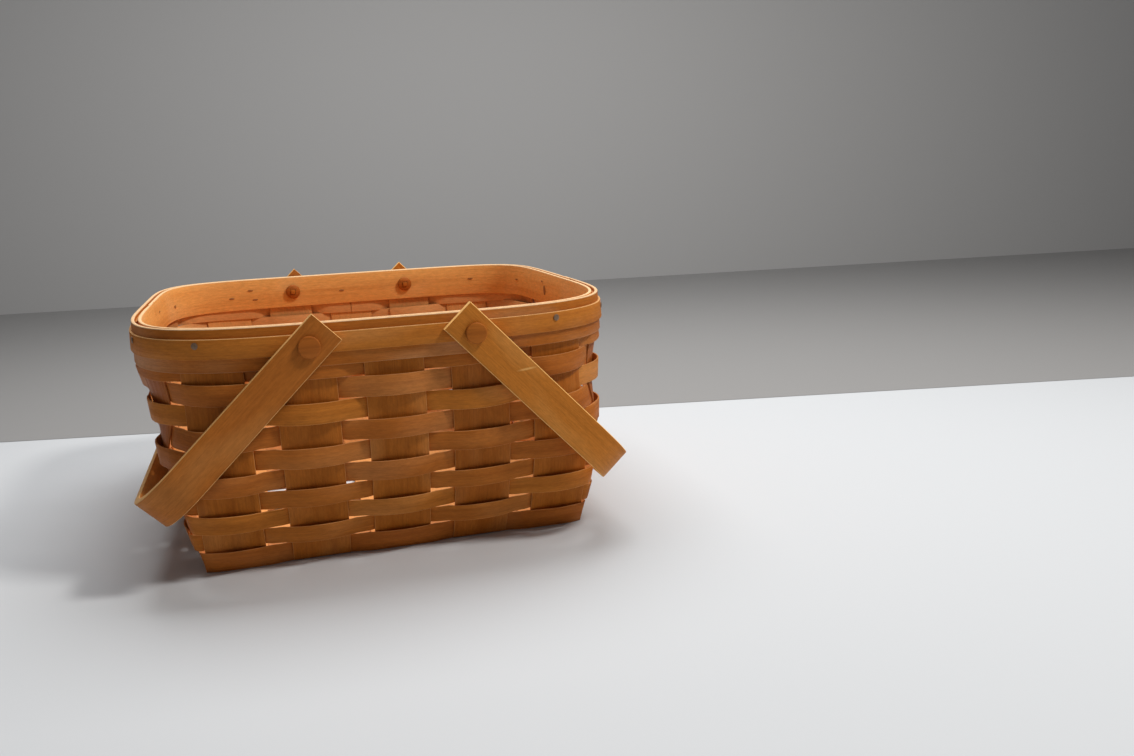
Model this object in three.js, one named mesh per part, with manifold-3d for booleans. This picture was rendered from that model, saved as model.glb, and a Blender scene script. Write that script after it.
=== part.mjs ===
// Woven splint basket with two swinging handles.
// Millimetres, +Z up, +X along the front wall, +Y to the back, origin under the middle of the base.

import * as THREE from 'three';
import { mergeVertices } from 'three/addons/utils/BufferGeometryUtils.js';
import Module from 'manifold-3d';

const wasm = await Module();
wasm.setup();

// Body of the basket
const RIM_WIDTH = 304.8; // over the outer band, end to end
const RIM_DEPTH = 315.2; // over the outer band, front to back
const RIM_HEIGHT = 151.8; // table to the top of the bands
const BASE_WIDTH = 237.4; // at the fold of the end walls
const BASE_DEPTH = 247.4; // at the fold of the front and back walls
const END_WALL_CURVE = 1; // power of the end walls' profile, straight up to the rim
const FRONT_WALL_CURVE = 2.4; // and of the front and back walls' profile
const FRONT_SQUARENESS = 4; // superellipse exponent of the front half of the plan at the rim
const BACK_SQUARENESS = 6; // and of its back half, where the corners are tighter
const BASE_SQUARENESS = 60; // and at the base, where the corners are nearly sharp
const SQUARENESS_FADE = 3; // how early the corners round off on the way up

// Upsplints, which cross under the basket and stand up in the walls
const UPSPLINT_WIDTH = 34.9;
const UPSPLINT_THICKNESS = 1.2;
const UPSPLINTS_PER_WALL = 5;
const UPSPLINT_DROP = 2; // top of the bands to the top of the upsplints
const END_FOLD_INSET = 1.2; // fold of the end wall to the nearest front upsplint
const FRONT_FOLD_INSET = 4; // fold of the front wall to the nearest end upsplint
const RIM_CORNER_INSET = 29; // wall to the nearest upsplint round the corner, at the rim

// Weavers, one ring of flat splint to a row
const WEAVER_WIDTH = 12.6;
const WEAVER_THICKNESS = 1;
const WEAVER_CREST = 1.3; // rise from the edge of an upsplint to its middle
const ROW_GAP = 0.4; // least gap between two rows
const ROW_SAG = 2.4; // drop of a row in the middle of the front and back walls
const SAG_ROWS = 4; // rows from the base to the full sag

// Rim
const BAND_HEIGHT = 25.4;
const BAND_THICKNESS = 1.6;
const BAND_TIP = 0.4; // thickness left at a scarfed end
const TRIM_HEIGHT = 11.7;
const TRIM_THICKNESS = 1.1;
const TRIM_TIP = 0.3;
const TRIM_DROP = 5.8; // top of the bands to the top of the trim strip

// Swing handles
const HANDLE_REACH = 136.5; // pin to the outer face of the grip
const HANDLE_WIDTH = 22.5;
const HANDLE_THICKNESS = 4.8;
const HANDLE_BEND = 36; // outer radius of the bent corners
const HANDLE_TAIL = 14.8; // pin to the cut end of the leg
const HANDLE_EDGE = 0.8; // eased edges
const LEFT_HANDLE_LIFT = 2.8; // degrees that the left handle stays above its rest on the wall

// Handle pins and the buttons that close them inside the rim
const PIN_SPACING = 95.3; // between the two handles' pins on one wall
const PIN_DROP = 12.5; // top of the bands to the pins
const PIN_DIAMETER = 6;
const PIN_LAND = 1.9; // upsplint left between a pin hole and the top row
const PIN_HEAD_DIAMETER = 12.7;
const PIN_HEAD_HEIGHT = 2.4;
const PIN_HEAD_EDGE = 0.7;
const PIN_TIP = 3.6; // side of the square tip
const PIN_TIP_PROUD = 0.8;
const BUTTON_DIAMETER = 11.8;
const BUTTON_EDGE = 1.4; // straight edge below the dome
const BUTTON_HEIGHT = 3.6;

const CLEARANCE = 0.3; // between pieces that lie against each other

// Fineness of the facets
const ROUND_SIDES = 16;
const BEND_STEPS = 6;
const CORNER_STEPS = 4;
const DOME_STEPS = 3;
const MERGE_DISTANCE = 1e-4;
const HALVINGS = 40; // steps in the search for the handles' rest

// Colours of the varnished wood
const WEAVER_COLOUR = 0xa2692f;
const UPSPLINT_COLOUR = 0x96592a;
const BAND_COLOUR = 0xb3763a;
const TRIM_COLOUR = 0xab7038;
const HANDLE_COLOUR = 0xa06a30;
const PIN_COLOUR = 0x9a6029;
const WOOD_ROUGHNESS = 0.5;

// Layers through the rim, as distances from the middle of the upsplints
const weaveOffset = UPSPLINT_THICKNESS / 2 + CLEARANCE + WEAVER_THICKNESS / 2;
const crestOffset = weaveOffset + WEAVER_CREST;
const bandNear = UPSPLINT_THICKNESS / 2 + WEAVER_THICKNESS + 2 * CLEARANCE;
const bandFar = bandNear + BAND_THICKNESS;
const trimNear = bandFar + CLEARANCE;
const trimFar = trimNear + TRIM_THICKNESS;

// Base: the front-to-back upsplints lie flat and the others pass over and under them
const crossingStep = UPSPLINT_THICKNESS + CLEARANCE;
const flatBase = UPSPLINT_THICKNESS / 2 + crossingStep;

// Rows of weaving, from the base up to just under the pins
const pinHeight = RIM_HEIGHT - PIN_DROP;
const holeRadius = PIN_DIAMETER / 2 + CLEARANCE;
const rowsBottom = flatBase + UPSPLINT_THICKNESS / 2 + CLEARANCE;
const rowsTop = pinHeight - holeRadius - PIN_LAND;
const rowCount = Math.floor((rowsTop - rowsBottom) / (WEAVER_WIDTH + ROW_GAP));
const rowPitch = (rowsTop - rowsBottom) / rowCount;
const bandBottom = RIM_HEIGHT - BAND_HEIGHT;
const rowLevel = (row) => rowsBottom + row * rowPitch;
const isTucked = (row) => rowLevel(row + 1) > bandBottom;
const rows = [...Array(rowCount).keys()];
const uprightFrom = rowLevel(rows.find(isTucked) ?? rowCount - 1);

// The four walls in order round the basket. Along and out are unit directions in plan.
const walls = [
  { name: 'front', along: [1, 0], out: [0, -1] },
  { name: 'right', along: [0, 1], out: [1, 0] },
  { name: 'back', along: [-1, 0], out: [0, 1] },
  { name: 'left', along: [0, -1], out: [-1, 0] },
];
const [FRONT, RIGHT, BACK, LEFT] = walls.keys();
const isEndWall = (wall) => wall % 2 === 1;
const middleUpsplint = (UPSPLINTS_PER_WALL - 1) / 2;
const scarfUpsplint = Math.floor(middleUpsplint);

const lerp = THREE.MathUtils.lerp;
const clamp01 = (value) => THREE.MathUtils.clamp(value, 0, 1);

// Share of the wall's flare that is still to come at a height
const flareLeft = (z, power) => (1 - clamp01(z / uprightFrom)) ** power;

// Half width and half depth of the upsplints' middle surface at a height
function planHalves(z) {
  const endRim = RIM_WIDTH / 2 - bandFar;
  const frontRim = RIM_DEPTH / 2 - bandFar;
  const end = lerp(endRim, BASE_WIDTH / 2, flareLeft(z, END_WALL_CURVE));
  const front = lerp(frontRim, BASE_DEPTH / 2, flareLeft(z, FRONT_WALL_CURVE));
  return { end, front };
}

// Distance from a wall's middle to the middle of one of its upsplints at a height
function upsplintPlace(wall, number, z) {
  const baseHalf = (isEndWall(wall) ? BASE_DEPTH : BASE_WIDTH) / 2;
  const rimHalf = (isEndWall(wall) ? RIM_DEPTH : RIM_WIDTH) / 2 - bandFar;
  const foldInset = isEndWall(wall) ? FRONT_FOLD_INSET : END_FOLD_INSET;
  const outermostBase = baseHalf - foldInset - UPSPLINT_WIDTH / 2;
  const outermostRim = rimHalf - RIM_CORNER_INSET - UPSPLINT_WIDTH / 2;
  const outermost = lerp(outermostBase, outermostRim, z / RIM_HEIGHT);
  return (outermost * (number - middleUpsplint)) / middleUpsplint;
}

// Whether a distance along a wall, or the bend after it, is in the back half of the plan
const isBackHalf = (wall, along) =>
  walls[wall].along[1] * along + walls[wall].out[1] * RIM_DEPTH > 0;

// The superellipse plan at a height, seen from one wall
function planAt(wall, z, along) {
  const { end, front } = planHalves(z);
  const rimExponent = isBackHalf(wall, along) ? BACK_SQUARENESS : FRONT_SQUARENESS;
  const exponent = lerp(rimExponent, BASE_SQUARENESS, flareLeft(z, SQUARENESS_FADE));
  return {
    half: isEndWall(wall) ? front : end,
    reach: isEndWall(wall) ? end : front,
    exponent,
  };
}

// Point and normal of the plan at a distance along a wall
function onWall(wall, z, along) {
  const { half, reach, exponent } = planAt(wall, z, along);
  const share = Math.abs(along) / half;
  const out = reach * (1 - share ** exponent) ** (1 / exponent);
  const slopeAlong = (Math.sign(along) * share ** (exponent - 1)) / half;
  const slopeOut = (out / reach) ** (exponent - 1) / reach;
  return { along, out, lean: Math.atan2(slopeAlong, slopeOut) };
}

// Point of the bend after a wall whose normal leans by an angle from the wall's own direction
function onCorner(wall, z, lean) {
  const { half, reach, exponent } = planAt(wall, z, 1);
  const root = 1 / (exponent - 1);
  const pullAlong = (half * Math.sin(lean)) ** root;
  const pullOut = (reach * Math.cos(lean)) ** root;
  const size = (pullAlong ** exponent + pullOut ** exponent) ** (1 / exponent);
  return { along: (half * pullAlong) / size, out: (reach * pullOut) / size, lean };
}

// Places round the basket: across each upsplint, and on the bend between two walls
const onUpsplint = (wall, number, side) => ({ wall, number, side });
const onBend = (wall, share) => ({ wall, share });

// The last place of one wall and the first of the next, either side of a bend
const bendEnds = (wall) => [
  onUpsplint(wall, UPSPLINTS_PER_WALL - 1, 1),
  onUpsplint((wall + 1) % walls.length, 0, -1),
];

function planPoint(place, z) {
  const { wall } = place;
  if (place.share === undefined) {
    const middle = upsplintPlace(wall, place.number, z);
    return onWall(wall, z, middle + (place.side * UPSPLINT_WIDTH) / 2);
  }
  const [before, after] = bendEnds(wall).map((end) => planPoint(end, z));
  return onCorner(wall, z, lerp(before.lean, Math.PI / 2 + after.lean, place.share));
}

// Drop of a row where it passes a point of the front or back wall
function sagAt(x, z) {
  const { end } = planHalves(z);
  const grown = clamp01((z - rowsBottom) / (SAG_ROWS * rowPitch));
  return ROW_SAG * grown * Math.max(0, 1 - (x / end) ** 2);
}

// A point of the wall, moved out from the upsplints' middle surface
function wallPoint(place, z, offset, sags) {
  const { along, out } = walls[place.wall];
  const point = planPoint(place, z);
  const sideways = point.along + offset * Math.sin(point.lean);
  const outwards = point.out + offset * Math.cos(point.lean);
  const x = along[0] * sideways + out[0] * outwards;
  const y = along[1] * sideways + out[1] * outwards;
  return new THREE.Vector3(x, y, sags ? z - sagAt(x, z) : z);
}

// All places round the basket in order, starting at the left edge of one upsplint
function ringPlaces(startWall, startNumber) {
  const places = [];
  for (let step = 0; step < walls.length * UPSPLINTS_PER_WALL; step += 1) {
    const count = startNumber + step;
    const wall = (startWall + Math.floor(count / UPSPLINTS_PER_WALL)) % walls.length;
    const number = count % UPSPLINTS_PER_WALL;
    for (const side of [-1, 0, 1]) {
      places.push(onUpsplint(wall, number, side));
    }
    if (number === UPSPLINTS_PER_WALL - 1) {
      for (let bend = 1; bend < CORNER_STEPS; bend += 1) {
        places.push(onBend(wall, bend / CORNER_STEPS));
      }
    }
  }
  return places;
}

// A closed strip lofted through stations, each with a row of points on its two faces
function strip(stations) {
  const across = stations[0].outer.length;
  const corners = stations.flatMap(({ outer, inner }) => [...outer, ...inner]);
  const index = [];
  const quad = (a, b, c, d) => index.push(a, b, c, a, c, d);
  const outerAt = (station, point) => station * 2 * across + point;
  const innerAt = (station, point) => outerAt(station, point) + across;
  const lastStation = stations.length - 1;
  const lastPoint = across - 1;
  for (let s = 0; s < lastStation; s += 1) {
    for (let p = 0; p < lastPoint; p += 1) {
      quad(outerAt(s, p), outerAt(s + 1, p), outerAt(s + 1, p + 1), outerAt(s, p + 1));
      quad(innerAt(s, p), innerAt(s, p + 1), innerAt(s + 1, p + 1), innerAt(s + 1, p));
    }
    quad(outerAt(s, 0), innerAt(s, 0), innerAt(s + 1, 0), outerAt(s + 1, 0));
    quad(
      outerAt(s, lastPoint),
      outerAt(s + 1, lastPoint),
      innerAt(s + 1, lastPoint),
      innerAt(s, lastPoint),
    );
  }
  for (let p = 0; p < lastPoint; p += 1) {
    quad(outerAt(0, p), outerAt(0, p + 1), innerAt(0, p + 1), innerAt(0, p));
    quad(
      outerAt(lastStation, p),
      innerAt(lastStation, p),
      innerAt(lastStation, p + 1),
      outerAt(lastStation, p + 1),
    );
  }
  const geometry = new THREE.BufferGeometry().setFromPoints(corners);
  geometry.setIndex(signedVolume(corners, index) < 0 ? index.reverse() : index);
  return geometry;
}

function signedVolume(corners, index) {
  let volume = 0;
  const normal = new THREE.Vector3();
  for (let i = 0; i < index.length; i += 3) {
    normal.crossVectors(corners[index[i + 1]], corners[index[i + 2]]);
    volume += corners[index[i]].dot(normal);
  }
  return volume;
}

// A closed mesh as a solid for cutting, with shared corners merged and empty triangles left out
function toSolid(geometry) {
  const bare = new THREE.BufferGeometry();
  bare.setAttribute('position', geometry.getAttribute('position'));
  bare.setIndex(geometry.getIndex());
  const merged = mergeVertices(bare, MERGE_DISTANCE);
  const index = merged.getIndex().array;
  const triangles = [];
  for (let i = 0; i < index.length; i += 3) {
    const [a, b, c] = [index[i], index[i + 1], index[i + 2]];
    if (a !== b && b !== c && c !== a) {
      triangles.push(a, b, c);
    }
  }
  const mesh = new wasm.Mesh({
    numProp: 3,
    vertProperties: new Float32Array(merged.getAttribute('position').array),
    triVerts: new Uint32Array(triangles),
  });
  return new wasm.Manifold(mesh);
}

function toGeometry(solid) {
  const mesh = solid.getMesh();
  const geometry = new THREE.BufferGeometry();
  geometry.setAttribute('position', new THREE.BufferAttribute(mesh.vertProperties, 3));
  geometry.setIndex(new THREE.BufferAttribute(mesh.triVerts, 1));
  return geometry;
}

function cut(geometry, cutters) {
  let solid = toSolid(geometry);
  for (const cutter of cutters) {
    solid = solid.subtract(toSolid(cutter));
  }
  return toGeometry(solid);
}

// Where the handles' legs lie outside the rim, and the pins that they turn on
const handleNear = RIM_DEPTH / 2 - bandFar + trimFar + CLEARANCE;
const handleFar = handleNear + HANDLE_THICKNESS;
const pinPlaces = [-PIN_SPACING / 2, PIN_SPACING / 2];

// A drill right through the basket from front to back
function pinHole(x, z) {
  const length = 2 * (handleFar + HANDLE_THICKNESS);
  return new THREE.CylinderGeometry(holeRadius, holeRadius, length, ROUND_SIDES).translate(x, 0, z);
}

const rimHoles = () => pinPlaces.map((x) => pinHole(x, pinHeight));

const basket = new THREE.Group();

function addPiece(parent, name, geometry, colour) {
  const finished = geometry.index ? geometry.toNonIndexed() : geometry;
  finished.computeVertexNormals();
  const material = new THREE.MeshStandardMaterial({
    color: colour,
    roughness: WOOD_ROUGHNESS,
    metalness: 0,
  });
  const mesh = new THREE.Mesh(finished, material);
  mesh.name = name;
  parent.add(mesh);
}

// One height of an upsplint on a wall. Turned is for the wall where it comes up the other way.
function uprightStation(wall, number, z, turned, sags) {
  const sides = turned ? [1, 0, -1] : [-1, 0, 1];
  const half = UPSPLINT_THICKNESS / 2;
  const at = (offset) => sides.map((side) => {
    return wallPoint(onUpsplint(wall, number, side), z, offset, sags);
  });
  return { outer: at(half), inner: at(-half) };
}

// The sharp fold where an upsplint turns up from the base
function foldStation(wall, number, z, turned) {
  const half = UPSPLINT_THICKNESS / 2;
  const below = uprightStation(wall, number, z - half, turned, false);
  const above = uprightStation(wall, number, z + half, turned, false);
  return { outer: below.outer, inner: above.inner };
}

// From the fold to the top of the wall, with a station at each row so that the weavers follow it
function uprightStations(wall, number, baseHeight, turned) {
  const levels = [...rows, rowCount].map(rowLevel);
  const clear = levels.filter((z) => z > baseHeight + UPSPLINT_THICKNESS / 2);
  return [
    foldStation(wall, number, baseHeight, turned),
    ...clear.map((z) => uprightStation(wall, number, z, turned, true)),
    uprightStation(wall, number, RIM_HEIGHT - UPSPLINT_DROP, turned, false),
  ];
}

const oppositeNumber = (number) => UPSPLINTS_PER_WALL - 1 - number;

function addFrontToBackUpsplint(number) {
  const backSide = uprightStations(BACK, oppositeNumber(number), flatBase, true);
  const frontSide = uprightStations(FRONT, number, flatBase, false);
  const whole = strip([...backSide.reverse(), ...frontSide]);
  const middle = upsplintPlace(FRONT, number, pinHeight);
  const isPinned = pinPlaces.some((x) => Math.abs(x - middle) < UPSPLINT_WIDTH / 2);
  const geometry = isPinned ? cut(whole, rimHoles()) : whole;
  addPiece(basket, `upsplint_front_back_${number + 1}`, geometry, UPSPLINT_COLOUR);
}

// Height of an end-to-end upsplint where it crosses a front-to-back one
function crossingHeight(endNumber, frontNumber) {
  const isUnder = (endNumber + frontNumber) % 2 === 0;
  return isUnder ? flatBase - crossingStep : flatBase + crossingStep;
}

function crossingStations(endNumber, frontNumber) {
  const half = UPSPLINT_THICKNESS / 2;
  const z = crossingHeight(endNumber, frontNumber);
  const middleX = upsplintPlace(FRONT, frontNumber, 0);
  const middleY = upsplintPlace(RIGHT, endNumber, 0);
  return [-1, 1].map((edge) => {
    const x = middleX + (edge * UPSPLINT_WIDTH) / 2;
    const at = (height) => [-1, 0, 1].map((side) => {
      return new THREE.Vector3(x, middleY + (side * UPSPLINT_WIDTH) / 2, height);
    });
    return { outer: at(z - half), inner: at(z + half) };
  });
}

function addEndToEndUpsplint(number) {
  const numbers = [...Array(UPSPLINTS_PER_WALL).keys()];
  const firstHeight = crossingHeight(number, 0);
  const lastHeight = crossingHeight(number, UPSPLINTS_PER_WALL - 1);
  const leftSide = uprightStations(LEFT, oppositeNumber(number), firstHeight, true);
  const rightSide = uprightStations(RIGHT, number, lastHeight, false);
  const base = numbers.flatMap((frontNumber) => crossingStations(number, frontNumber));
  const geometry = strip([...leftSide.reverse(), ...base, ...rightSide]);
  addPiece(basket, `upsplint_end_end_${number + 1}`, geometry, UPSPLINT_COLOUR);
}

// The lower inner edge of the right handle's grip when it hangs at an angle below level
function gripEdge(angle) {
  const reach = HANDLE_REACH - HANDLE_THICKNESS;
  const drop = HANDLE_WIDTH / 2 - HANDLE_EDGE;
  return {
    x: PIN_SPACING / 2 + reach * Math.cos(angle) - drop * Math.sin(angle),
    z: pinHeight - reach * Math.sin(angle) - drop * Math.cos(angle),
  };
}

// Angle below level at which a grip comes to rest on the end wall, where it presses a row flat
function restAngle() {
  let clear = 0;
  let blocked = Math.PI / 2;
  for (let halving = 0; halving < HALVINGS; halving += 1) {
    const middle = (clear + blocked) / 2;
    const { x, z } = gripEdge(middle);
    if (x > planHalves(z).end + weaveOffset + WEAVER_THICKNESS / 2 + CLEARANCE) {
      clear = middle;
    } else {
      blocked = middle;
    }
  }
  return clear;
}

const restRow = Math.floor((gripEdge(restAngle()).z - rowsBottom) / rowPitch);
const isPressed = (row, wall) => row === restRow && isEndWall(wall);

// How far a weaver stands out from the upsplints' middle surface at a place on its row
function weaveAt(row, place) {
  if (place.share !== undefined) {
    const [before, after] = bendEnds(place.wall).map((end) => weaveAt(row, end));
    return lerp(before, after, place.share);
  }
  const count = place.wall * UPSPLINTS_PER_WALL + place.number;
  const direction = (row + count) % 2 === 0 ? 1 : -1;
  const isFlat = isTucked(row) || isPressed(row, place.wall);
  const isCrest = Math.abs(place.side) < 1 && !isFlat;
  return direction * (isCrest ? crestOffset : weaveOffset);
}

function weaverStation(row, place, inwards) {
  const spare = (rowPitch - WEAVER_WIDTH) / 2;
  const half = WEAVER_THICKNESS / 2;
  const offset = weaveAt(row, place) - inwards;
  const heights = [rowLevel(row) + spare, rowLevel(row + 1) - spare];
  const at = (face) => heights.map((z) => wallPoint(place, z, offset + face, true));
  return { outer: at(half), inner: at(-half) };
}

// A row starts and ends inside an upsplint of the back wall. Its ends lap there, or butt
// where the row is tucked between the bands and has no room for a lap.
function weaverStations(row) {
  const endNumber = row % 2 === 0 ? 1 : 2;
  const ring = ringPlaces(BACK, endNumber);
  const round = ring.map((place) => weaverStation(row, place, 0));
  if (isTucked(row)) {
    const butt = CLEARANCE / UPSPLINT_WIDTH;
    const end = (side) => weaverStation(row, onUpsplint(BACK, endNumber, side), 0);
    return [end(butt), ...round.slice(2), end(-1), end(-butt)];
  }
  const lapDepth = WEAVER_THICKNESS + CLEARANCE;
  const lap = ring.slice(0, 3).map((place) => weaverStation(row, place, lapDepth));
  return [...round, ...lap];
}

function addWeaver(row) {
  const name = `weaver_${String(row + 1).padStart(2, '0')}`;
  addPiece(basket, name, strip(weaverStations(row)), WEAVER_COLOUR);
}

// A hoop round the rim between two offsets, closed by a scarf joint at one upsplint
function hoop(shape) {
  const { top, height, near, far, tip, wall, number } = shape;
  const station = (place, from, to) => {
    const at = (offset) => [top - height, top].map((z) => wallPoint(place, z, offset, false));
    return { outer: at(to), inner: at(from) };
  };
  const ring = ringPlaces(wall, number);
  const taper = far - near - tip;
  const overlap = (taper - tip - CLEARANCE) / taper;
  const [lapStart, lapMiddle] = ring;
  const lapEnd = onUpsplint(wall, number, lerp(-1, 1, overlap));
  return strip([
    station(lapStart, near, near + tip),
    station(lapMiddle, near, near + tip + taper / 2),
    ...ring.slice(2).map((place) => station(place, near, far)),
    station(lapStart, near + tip + CLEARANCE, far),
    station(lapEnd, far - tip, far),
  ]);
}

function addRim() {
  const bands = { top: RIM_HEIGHT, height: BAND_HEIGHT, tip: BAND_TIP, number: scarfUpsplint };
  const outer = hoop({ ...bands, near: bandNear, far: bandFar, wall: RIGHT });
  const inner = hoop({ ...bands, near: -bandFar, far: -bandNear, wall: LEFT });
  const trim = hoop({
    top: RIM_HEIGHT - TRIM_DROP,
    height: TRIM_HEIGHT,
    near: trimNear,
    far: trimFar,
    tip: TRIM_TIP,
    wall: BACK,
    number: scarfUpsplint,
  });
  addPiece(basket, 'outer_band', cut(outer, rimHoles()), BAND_COLOUR);
  addPiece(basket, 'inner_band', cut(inner, rimHoles()), BAND_COLOUR);
  addPiece(basket, 'trim_strip', cut(trim, rimHoles()), TRIM_COLOUR);
}

// One section of a handle, from a point of its outer face and the direction that the face looks
function handleStation(y, z, faceY, faceZ) {
  const half = HANDLE_WIDTH / 2;
  const sides = [-half, HANDLE_EDGE - half, half - HANDLE_EDGE, half];
  const eases = [HANDLE_EDGE, 0, 0, HANDLE_EDGE];
  const at = (depths) => sides.map((x, i) => {
    return new THREE.Vector3(x, y - faceY * depths[i], z - faceZ * depths[i]);
  });
  return { outer: at(eases), inner: at(eases.map((ease) => HANDLE_THICKNESS - ease)) };
}

// A handle standing up from its pins: back leg, bent corner, grip, bent corner, front leg
function handleGeometry() {
  const bendY = handleFar - HANDLE_BEND;
  const bendZ = HANDLE_REACH - HANDLE_BEND;
  const half = [handleStation(handleFar, -HANDLE_TAIL, 1, 0)];
  const otherHalf = [handleStation(-handleFar, -HANDLE_TAIL, -1, 0)];
  for (let step = 0; step <= BEND_STEPS; step += 1) {
    const angle = ((Math.PI / 2) * step) / BEND_STEPS;
    const [faceY, faceZ] = [Math.cos(angle), Math.sin(angle)];
    const y = bendY + HANDLE_BEND * faceY;
    const z = bendZ + HANDLE_BEND * faceZ;
    half.push(handleStation(y, z, faceY, faceZ));
    otherHalf.push(handleStation(-y, z, -faceY, faceZ));
  }
  return cut(strip([...half, ...otherHalf.reverse()]), [pinHole(0, 0)]);
}

function addHandle(name, x, turn) {
  const pivot = new THREE.Group();
  pivot.position.set(x, 0, pinHeight);
  pivot.rotation.y = turn;
  addPiece(pivot, name, handleGeometry(), HANDLE_COLOUR);
  basket.add(pivot);
}

function addHandles() {
  const rest = restAngle();
  const lift = THREE.MathUtils.degToRad(LEFT_HANDLE_LIFT);
  const [leftX, rightX] = pinPlaces;
  addHandle('left_handle', leftX, lift - rest - Math.PI / 2);
  addHandle('right_handle', rightX, rest + Math.PI / 2);
}

// Where a button lies against the curved inner band of a wall, from the basket's middle
function buttonSeat(wall) {
  const farSide = PIN_SPACING / 2 + BUTTON_DIAMETER / 2;
  const plan = onWall(wall, pinHeight, farSide);
  return plan.out - bandFar / Math.cos(plan.lean) - CLEARANCE;
}

const squarePeg = (side, length, y) => new THREE.BoxGeometry(side, length, side).translate(0, y, 0);

// A pin turned about Y with its head outwards and a square tip that shows inside the rim
function pinGeometry(wall) {
  const headRadius = PIN_HEAD_DIAMETER / 2;
  const headFoot = handleFar + CLEARANCE;
  const headTop = headFoot + PIN_HEAD_HEIGHT;
  const seat = buttonSeat(wall);
  const shankEnd = seat + CLEARANCE;
  const profile = [
    [0, shankEnd],
    [PIN_DIAMETER / 2, shankEnd],
    [PIN_DIAMETER / 2, headFoot],
    [headRadius, headFoot],
    [headRadius, headTop - PIN_HEAD_EDGE],
    [headRadius - PIN_HEAD_EDGE, headTop],
    [0, headTop],
  ].map(([r, y]) => new THREE.Vector2(r, y));
  const turned = new THREE.LatheGeometry(profile, ROUND_SIDES);
  const tipEnd = seat - BUTTON_HEIGHT - PIN_TIP_PROUD;
  const tipRoot = shankEnd + PIN_TIP;
  const tip = squarePeg(PIN_TIP, tipRoot - tipEnd, (tipRoot + tipEnd) / 2);
  return toGeometry(toSolid(turned).add(toSolid(tip)));
}

// A domed button with a square hole, its flat back against the inner band
function buttonGeometry(wall) {
  const radius = BUTTON_DIAMETER / 2;
  const seat = buttonSeat(wall);
  const dome = BUTTON_HEIGHT - BUTTON_EDGE;
  const profile = [];
  for (let step = 0; step <= DOME_STEPS; step += 1) {
    const angle = ((Math.PI / 2) * step) / DOME_STEPS;
    const y = seat - BUTTON_EDGE - dome * Math.cos(angle);
    profile.push(new THREE.Vector2(step === 0 ? 0 : radius * Math.sin(angle), y));
  }
  profile.push(new THREE.Vector2(radius, seat), new THREE.Vector2(0, seat));
  const turned = new THREE.LatheGeometry(profile, ROUND_SIDES);
  const throughLength = BUTTON_HEIGHT + 2 * CLEARANCE;
  const hole = squarePeg(PIN_TIP + 2 * CLEARANCE, throughLength, seat - BUTTON_HEIGHT / 2);
  return cut(turned, [hole]);
}

function addPins() {
  for (const wall of [FRONT, BACK]) {
    for (const [i, side] of ['left', 'right'].entries()) {
      const pivot = new THREE.Group();
      pivot.position.set(pinPlaces[i], 0, pinHeight);
      pivot.rotation.z = wall === FRONT ? Math.PI : 0;
      const where = `${walls[wall].name}_${side}`;
      addPiece(pivot, `handle_pin_${where}`, pinGeometry(wall), PIN_COLOUR);
      addPiece(pivot, `pin_button_${where}`, buttonGeometry(wall), PIN_COLOUR);
      basket.add(pivot);
    }
  }
}

for (let number = 0; number < UPSPLINTS_PER_WALL; number += 1) {
  addFrontToBackUpsplint(number);
  addEndToEndUpsplint(number);
}
rows.forEach(addWeaver);
addRim();
addHandles();
addPins();

export default basket;
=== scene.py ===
import math
import random

import bmesh
import bpy
from mathutils import Matrix, Vector


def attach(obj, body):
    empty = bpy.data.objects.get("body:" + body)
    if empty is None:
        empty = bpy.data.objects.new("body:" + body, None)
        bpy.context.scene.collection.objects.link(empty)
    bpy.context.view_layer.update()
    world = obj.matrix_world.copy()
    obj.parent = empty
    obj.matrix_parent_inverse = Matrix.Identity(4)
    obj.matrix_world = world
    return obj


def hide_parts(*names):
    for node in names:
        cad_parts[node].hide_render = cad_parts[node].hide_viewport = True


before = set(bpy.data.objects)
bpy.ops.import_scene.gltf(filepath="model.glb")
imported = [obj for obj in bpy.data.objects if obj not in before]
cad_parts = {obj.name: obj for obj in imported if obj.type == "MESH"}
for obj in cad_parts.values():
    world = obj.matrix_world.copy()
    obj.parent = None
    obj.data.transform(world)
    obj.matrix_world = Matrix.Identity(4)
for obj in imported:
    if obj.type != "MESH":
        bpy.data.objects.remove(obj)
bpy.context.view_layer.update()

# Sizes of the basket in millimetres, in the frame of the solids
MM = 0.001
CLEARANCE = 0.3

RIM_WIDTH = 304.8
RIM_DEPTH = 315.2
RIM_HEIGHT = 151.8
BASE_WIDTH = 237.4
BASE_DEPTH = 247.4

UPSPLINT_WIDTH = 34.9
UPSPLINT_THICKNESS = 1.2
UPSPLINT_EASE = 0.3
UPSPLINT_DROP = 2.0
END_FOLD_INSET = 1.2
FRONT_FOLD_INSET = 4.0
RIM_CORNER_INSET = 29.0
FOLD_RADIUS = 1.6
HEEL_DROP = 1.4
HEEL_RUN = 14.0

WEAVER_WIDTH = 12.6
WEAVER_THICKNESS = 1.0
WEAVER_EASE = 0.25
WEAVER_CREST = 3.0
PRESSED_CREST = 0.0
ROW_SAG = 2.4
ROW_SLIT = 0.4
ROW_SWAY = 0.9
ROW_WANDER = 0.35
FOOT_DROP = 3.2
TUCK_FLARE = 1.3
TUCK_REACH = 1.0

BAND_HEIGHT = 25.4
BAND_THICKNESS = 1.6
BAND_TIP = 0.4
BAND_EASE = 0.6
RIM_PINCH = 0.7
RIM_SWELL = 0.5
TRIM_HEIGHT = 11.7
TRIM_THICKNESS = 1.1
TRIM_TIP = 0.3
TRIM_EASE = 0.3
TRIM_DROP = 5.8

HANDLE_REACH = 136.5
HANDLE_WIDTH = 22.5
HANDLE_THICKNESS = 4.8
HANDLE_EASE = 0.8
HANDLE_BEND = 36.0
HANDLE_TAIL = 14.8

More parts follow.
